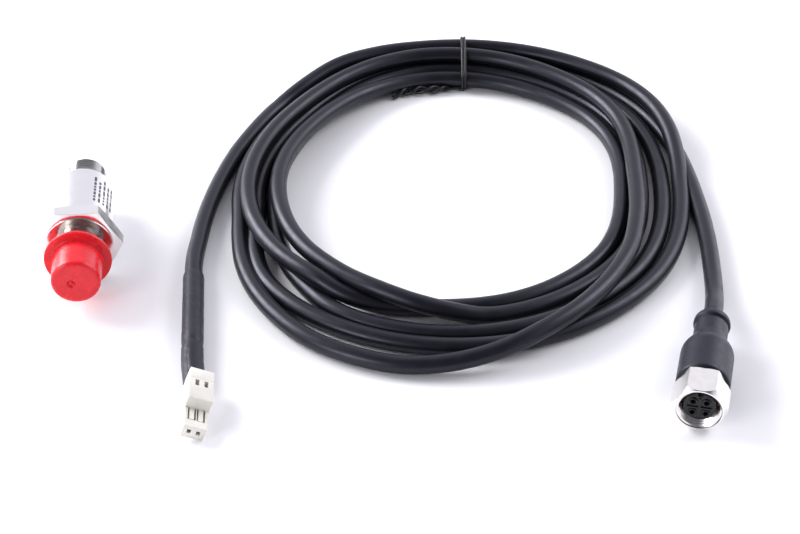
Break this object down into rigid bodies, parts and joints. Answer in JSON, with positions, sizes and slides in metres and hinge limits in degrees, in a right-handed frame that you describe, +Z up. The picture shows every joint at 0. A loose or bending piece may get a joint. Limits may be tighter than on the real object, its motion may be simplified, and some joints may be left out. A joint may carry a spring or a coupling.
{
  "type": "threaded fluid sensor with connection lead",
  "caption": "Small steel sensor with a process thread under a push-on cap, a hexagon and a round threaded plug, with its coiled lead.",
  "frame": {"origin": "on the table under the sensor's axis, halfway between the cap's nose and the end of the threaded plug", "axes": "+Y along the sensor's axis from the cap to the threaded plug, +Z up, +X from the sensor towards its coiled lead"},
  "size_m": [0.2029, 0.2049, 0.022],
  "materials": {
    "turned_steel": "turned stainless steel",
    "satin_steel": "fine satin stainless steel",
    "plug_steel": "turned stainless steel thread",
    "seal_rubber": "black sealing rubber",
    "socket_seal": "black sealing rubber",
    "ceramic": "white alumina, stood in for by a hard gloss plastic",
    "brass": "turned brass",
    "liner_plastic": "natural insulating film",
    "flex_film": "amber polyimide film",
    "board_green": "solder-masked board",
    "chip_black": "moulded chip body",
    "part_tan": "ceramic capacitor",
    "insert_black": "moulded contact insert",
    "gold_plate": "gold-plated contact",
    "wire_red": "insulated wire",
    "cap_red": "soft red polyethylene",
    "nut_nickel": "nickel-plated brass",
    "grip_black": "moulded soft grip",
    "cable_jacket": "black jacket with a faint sheen",
    "tie_black": "plastic-coated wire tie",
    "shrink_black": "shrunk sleeve",
    "plug_ivory": "moulded white plug",
    "terminal_tin": "tin-plated contact",
    "core_brown": "insulated core"
  },
  "bodies": {
    "sensor": {"sensor_base": "turned_steel", "housing_sleeve": "satin_steel", "sleeve_ring": "seal_rubber", "cell_ring": "seal_rubber", "measuring_cell": "ceramic", "cell_retainer": "brass", "insulating_liner": "liner_plastic", "cell_flex": "flex_film", "circuit_board": "board_green", "board_chip": "chip_black", "board_parts": "part_tan", "plug_shell": "plug_steel", "plug_ring": "seal_rubber", "contact_carrier": "insert_black", "contact_pin_1": "gold_plate", "contact_pin_2": "gold_plate", "contact_pin_3": "gold_plate", "contact_pin_4": "gold_plate", "pin_wire_1": "wire_red", "pin_wire_2": "wire_red", "pin_wire_3": "wire_red", "pin_wire_4": "wire_red"},
    "cap": {"thread_cap": "cap_red"},
    "lead": {"socket_core": "insert_black", "socket_insert": "insert_black", "socket_ring": "socket_seal", "socket_grip": "grip_black", "cable_socket_run": "cable_jacket", "cable_coil": "cable_jacket", "coil_tie": "tie_black", "cable_plug_run": "cable_jacket", "heat_shrink": "shrink_black", "plug_housing": "plug_ivory", "plug_retainer": "plug_ivory", "socket_contact_1": "gold_plate", "socket_contact_2": "gold_plate", "socket_contact_3": "gold_plate", "socket_contact_4": "gold_plate", "plug_terminal_1": "terminal_tin", "plug_terminal_2": "terminal_tin", "lead_core_1": "core_brown", "lead_core_2": "core_brown"},
    "nut": {"coupling_nut": "nut_nickel"}
  },
  "joints": [
    {"name": "cap_pull", "type": "slide", "parent": "sensor", "child": "cap", "axis": [0, -1, 0], "range_m": [0, 0.03]},
    {"name": "lead_lift", "type": "slide", "parent": "sensor", "child": "lead", "axis": [0, 0, 1], "range_m": [0, 0.06]},
    {"name": "nut_turn", "type": "hinge", "parent": "lead", "child": "nut", "pos_m": [0.1663, -0.0931, 0.00772], "axis": [0.2924, 0.9563, 0], "continuous": true}
  ]
}
